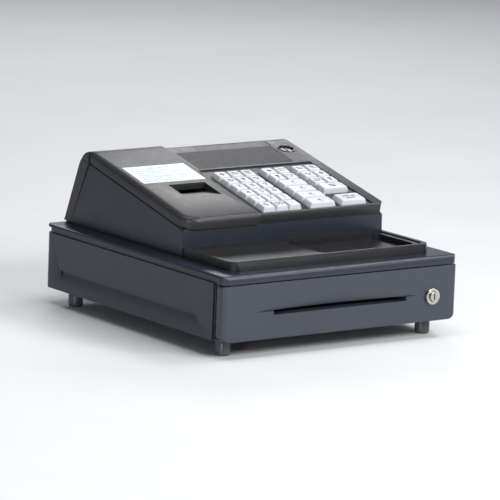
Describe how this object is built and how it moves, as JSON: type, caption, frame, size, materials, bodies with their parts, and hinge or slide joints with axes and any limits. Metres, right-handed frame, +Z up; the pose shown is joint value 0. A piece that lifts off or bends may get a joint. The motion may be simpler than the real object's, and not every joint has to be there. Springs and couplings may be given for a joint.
{
  "type": "cash register with customer display",
  "caption": "Compact electronic cash register with a sloped key panel, receipt printer and pop-up pole-mounted customer display on a lockable cash drawer.",
  "frame": {"origin": "on the table under the middle of the body", "axes": "+Z up; the drawer front and keyboard face -Y; +X is to the right of someone standing at the keyboard"},
  "size_m": [0.326, 0.3716, 0.1852],
  "materials": {
    "case_plastic": "fine moulded texture",
    "front_plastic": "fine moulded texture",
    "cover_plastic": "fine moulded texture",
    "panel_plastic": "satin",
    "deck_plastic": "fine moulded texture",
    "tray_plastic": "satin",
    "inner_plastic": "satin",
    "pole_plastic": "satin",
    "painted_sheet": "satin powder coat",
    "keycap": "clear caps over white bodies",
    "smoked_lens": "polished smoked lens",
    "switch_plastic": "satin",
    "lcd": "display glass in a frame",
    "label_film": "laminated film",
    "lock_chrome": "polished",
    "zinc_steel": "zinc plated",
    "spring_steel": "bright",
    "nylon": "natural",
    "coil": "taped winding",
    "transformer": "laminated core",
    "circuit_board": "solder mask",
    "silicone": "matte",
    "platen_rubber": "ground rubber",
    "rubber_foot": "matte",
    "gland_rubber": "matte",
    "paper": "thermal paper"
  },
  "bodies": {
    "base": {"drawer_case": "case_plastic", "case_cover": "case_plastic", "feet": "rubber_foot", "slide_rails": "zinc_steel", "latch_solenoid": "coil", "kick_spring": "spring_steel", "base_deck": "deck_plastic", "lower_housing": "case_plastic", "rear_housing": "cover_plastic", "upper_housing": "panel_plastic", "display_window": "smoked_lens", "operator_lcd": "lcd", "key_guide_plate": "inner_plastic", "key_mat": "silicone", "main_board": "circuit_board", "printer_mechanism": "inner_plastic", "power_transformer": "transformer", "case_screws": "zinc_steel", "cord_gland": "gland_rubber"},
    "rollers": {"rail_rollers": "nylon"},
    "latch": {"latch_hook": "zinc_steel"},
    "drawer": {"drawer_front": "front_plastic", "drawer_box": "painted_sheet", "drawer_runners": "zinc_steel", "bill_tray": "tray_plastic", "coin_tray": "tray_plastic", "clip_rod": "spring_steel", "lock_barrel": "lock_chrome"},
    "lock": {"lock_rotor": "lock_chrome"},
    "clip_1": {"bill_clip_1": "spring_steel"},
    "clip_2": {"bill_clip_2": "spring_steel"},
    "clip_3": {"bill_clip_3": "spring_steel"},
    "clip_4": {"bill_clip_4": "spring_steel"},
    "mode_switch": {"mode_switch_rotor": "switch_plastic"},
    "cover": {"printer_cover": "cover_plastic", "cover_label": "label_film"},
    "platen": {"platen_roller": "platen_rubber"},
    "roll": {"paper_roll": "paper"},
    "customer_display": {"customer_display_head": "panel_plastic", "customer_display_window": "smoked_lens", "customer_display_pole": "pole_plastic"},
    "key_7_body": {"key_7": "keycap"},
    "key_8_body": {"key_8": "keycap"},
    "key_9_body": {"key_9": "keycap"},
    "key_4_body": {"key_4": "keycap"},
    "key_5_body": {"key_5": "keycap"},
    "key_6_body": {"key_6": "keycap"},
    "key_1_body": {"key_1": "keycap"},
    "key_2_body": {"key_2": "keycap"},
    "key_3_body": {"key_3": "keycap"},
    "key_0_body": {"key_0": "keycap"},
    "key_00_body": {"key_00": "keycap"},
    "key_decimal_body": {"key_decimal": "keycap"},
    "key_department_1_body": {"key_department_1": "keycap"},
    "key_department_2_body": {"key_department_2": "keycap"},
    "key_department_3_body": {"key_department_3": "keycap"},
    "key_department_4_body": {"key_department_4": "keycap"},
    "key_subtotal_body": {"key_subtotal": "keycap"},
    "key_cash_total_body": {"key_cash_total": "keycap"},
    "function_keys_body": {"function_keys": "keycap"}
  },
  "joints": [
    {"name": "drawer_slide", "type": "slide", "parent": "base", "child": "drawer", "axis": [0, -1, 0], "range_m": [0, 0.245]},
    {"name": "rail_roller_spin", "type": "hinge", "parent": "base", "child": "rollers", "pos_m": [0, -0.154, 0.04365], "axis": [1, 0, 0], "continuous": true},
    {"name": "latch_hook_turn", "type": "hinge", "parent": "base", "child": "latch", "pos_m": [0, 0.175, 0.038], "axis": [-1, 0, 0], "range_deg": [0, 12]},
    {"name": "drawer_lock_turn", "type": "hinge", "parent": "drawer", "child": "lock", "pos_m": [0.127, -0.17, 0.0495], "axis": [0, 1, 0], "range_deg": [0, 90]},
    {"name": "mode_switch_turn", "type": "hinge", "parent": "base", "child": "mode_switch", "pos_m": [0.119, 0.10131, 0.16915], "axis": [0, -0.2255, 0.9743], "range_deg": [-90, 90]},
    {"name": "printer_cover_hinge", "type": "hinge", "parent": "base", "child": "cover", "pos_m": [-0.088, 0.12429, 0.17631], "axis": [-1, 0, 0], "range_deg": [0, 57]},
    {"name": "platen_spin", "type": "hinge", "parent": "base", "child": "platen", "pos_m": [-0.086, 0.02252, 0.14373], "axis": [1, 0, 0], "continuous": true},
    {"name": "paper_roll_spin", "type": "hinge", "parent": "base", "child": "roll", "pos_m": [-0.086, 0.08938, 0.13867], "axis": [1, 0, 0], "continuous": true},
    {"name": "customer_display_lift", "type": "slide", "parent": "base", "child": "customer_display", "axis": [0, 0, 1], "range_m": [0, 0.036]},
    {"name": "bill_clip_1_lift", "type": "hinge", "parent": "drawer", "child": "clip_1", "pos_m": [-0.10658, 0.07, 0.069], "axis": [-1, 0, 0], "range_deg": [0, 32]},
    {"name": "bill_clip_2_lift", "type": "hinge", "parent": "drawer", "child": "clip_2", "pos_m": [-0.03553, 0.07, 0.069], "axis": [-1, 0, 0], "range_deg": [0, 32]},
    {"name": "bill_clip_3_lift", "type": "hinge", "parent": "drawer", "child": "clip_3", "pos_m": [0.03553, 0.07, 0.069], "axis": [-1, 0, 0], "range_deg": [0, 32]},
    {"name": "bill_clip_4_lift", "type": "hinge", "parent": "drawer", "child": "clip_4", "pos_m": [0.10658, 0.07, 0.069], "axis": [-1, 0, 0], "range_deg": [0, 32]},
    {"name": "key_7_press", "type": "slide", "parent": "base", "child": "key_7_body", "axis": [0, 0.2255, -0.9743], "range_m": [0, 0.0035], "stiffness_N_per_m": 170},
    {"name": "key_8_press", "type": "slide", "parent": "base", "child": "key_8_body", "axis": [0, 0.2255, -0.9743], "range_m": [0, 0.0035], "stiffness_N_per_m": 170},
    {"name": "key_9_press", "type": "slide", "parent": "base", "child": "key_9_body", "axis": [0, 0.2255, -0.9743], "range_m": [0, 0.0035], "stiffness_N_per_m": 170},
    {"name": "key_4_press", "type": "slide", "parent": "base", "child": "key_4_body", "axis": [0, 0.2255, -0.9743], "range_m": [0, 0.0035], "stiffness_N_per_m": 170},
    {"name": "key_5_press", "type": "slide", "parent": "base", "child": "key_5_body", "axis": [0, 0.2255, -0.9743], "range_m": [0, 0.0035], "stiffness_N_per_m": 170},
    {"name": "key_6_press", "type": "slide", "parent": "base", "child": "key_6_body", "axis": [0, 0.2255, -0.9743], "range_m": [0, 0.0035], "stiffness_N_per_m": 170},
    {"name": "key_1_press", "type": "slide", "parent": "base", "child": "key_1_body", "axis": [0, 0.2255, -0.9743], "range_m": [0, 0.0035], "stiffness_N_per_m": 170},
    {"name": "key_2_press", "type": "slide", "parent": "base", "child": "key_2_body", "axis": [0, 0.2255, -0.9743], "range_m": [0, 0.0035], "stiffness_N_per_m": 170},
    {"name": "key_3_press", "type": "slide", "parent": "base", "child": "key_3_body", "axis": [0, 0.2255, -0.9743], "range_m": [0, 0.0035], "stiffness_N_per_m": 170},
    {"name": "key_0_press", "type": "slide", "parent": "base", "child": "key_0_body", "axis": [0, 0.2255, -0.9743], "range_m": [0, 0.0035], "stiffness_N_per_m": 170},
    {"name": "key_00_press", "type": "slide", "parent": "base", "child": "key_00_body", "axis": [0, 0.2255, -0.9743], "range_m": [0, 0.0035], "stiffness_N_per_m": 170},
    {"name": "key_decimal_press", "type": "slide", "parent": "base", "child": "key_decimal_body", "axis": [0, 0.2255, -0.9743], "range_m": [0, 0.0035], "stiffness_N_per_m": 170},
    {"name": "key_department_1_press", "type": "slide", "parent": "base", "child": "key_department_1_body", "axis": [0, 0.2255, -0.9743], "range_m": [0, 0.0035], "stiffness_N_per_m": 170},
    {"name": "key_department_2_press", "type": "slide", "parent": "base", "child": "key_department_2_body", "axis": [0, 0.2255, -0.9743], "range_m": [0, 0.0035], "stiffness_N_per_m": 170},
    {"name": "key_department_3_press", "type": "slide", "parent": "base", "child": "key_department_3_body", "axis": [0, 0.2255, -0.9743], "range_m": [0, 0.0035], "stiffness_N_per_m": 170},
    {"name": "key_department_4_press", "type": "slide", "parent": "base", "child": "key_department_4_body", "axis": [0, 0.2255, -0.9743], "range_m": [0, 0.0035], "stiffness_N_per_m": 170},
    {"name": "key_subtotal_press", "type": "slide", "parent": "base", "child": "key_subtotal_body", "axis": [0, 0.2255, -0.9743], "range_m": [0, 0.0035], "stiffness_N_per_m": 170},
    {"name": "key_cash_total_press", "type": "slide", "parent": "base", "child": "key_cash_total_body", "axis": [0, 0.2255, -0.9743], "range_m": [0, 0.0035], "stiffness_N_per_m": 170},
    {"name": "function_keys_press", "type": "slide", "parent": "base", "child": "function_keys_body", "axis": [0, 0.2255, -0.9743], "range_m": [0, 0.0035], "stiffness_N_per_m": 1500}
  ],
  "couplings": [
    {"joint": "rail_roller_spin", "follows": "drawer_slide", "rad_per_m": 166.67}
  ]
}
